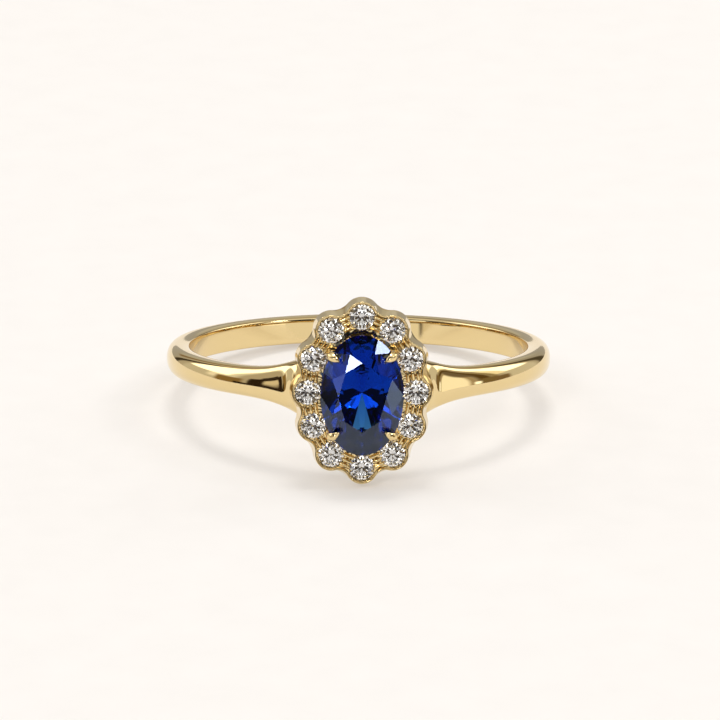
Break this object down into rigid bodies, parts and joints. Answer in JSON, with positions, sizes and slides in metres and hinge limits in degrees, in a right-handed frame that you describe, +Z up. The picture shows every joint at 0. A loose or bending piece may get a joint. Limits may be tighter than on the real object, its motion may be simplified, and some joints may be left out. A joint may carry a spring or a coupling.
{
  "type": "engagement ring",
  "caption": "Low-set cluster ring: an oval brilliant-cut blue sapphire in talon claws, inside a scalloped halo of round diamonds, on a court shank with trumpet shoulders.",
  "frame": {"origin": "centre of the finger bore", "axes": "the ring lies at rest as on a table: +Z up, the head towards -Y, +X to the right across the head; the finger bore's axis leans 11.55 degrees from +Z towards +Y"},
  "size_m": [0.0196, 0.022, 0.0093],
  "materials": {
    "polished_gold": "polished",
    "diamond": "polished",
    "sapphire": "polished"
  },
  "bodies": {
    "root": {"shank": "polished_gold", "halo_plate": "polished_gold", "halo_wall": "polished_gold", "centre_collet": "polished_gold", "claw_upper_left": "polished_gold", "claw_upper_right": "polished_gold", "claw_lower_left": "polished_gold", "claw_lower_right": "polished_gold", "gallery_rail_lower": "polished_gold", "gallery_rail_upper": "polished_gold", "gallery_post_1": "polished_gold", "gallery_post_2": "polished_gold", "gallery_post_3": "polished_gold", "gallery_post_4": "polished_gold", "gallery_post_5": "polished_gold", "gallery_post_6": "polished_gold", "gallery_post_7": "polished_gold", "gallery_post_8": "polished_gold", "shared_grains_01": "polished_gold", "shared_grains_02": "polished_gold", "shared_grains_03": "polished_gold", "shared_grains_04": "polished_gold", "shared_grains_05": "polished_gold", "shared_grains_06": "polished_gold", "shared_grains_07": "polished_gold", "shared_grains_08": "polished_gold", "shared_grains_09": "polished_gold", "shared_grains_10": "polished_gold", "shared_grains_11": "polished_gold", "shared_grains_12": "polished_gold", "halo_diamond_01": "diamond", "halo_diamond_02": "diamond", "halo_diamond_03": "diamond", "halo_diamond_04": "diamond", "halo_diamond_05": "diamond", "halo_diamond_06": "diamond", "halo_diamond_07": "diamond", "halo_diamond_08": "diamond", "halo_diamond_09": "diamond", "halo_diamond_10": "diamond", "halo_diamond_11": "diamond", "halo_diamond_12": "diamond", "sapphire": "sapphire"}
  },
  "joints": []
}
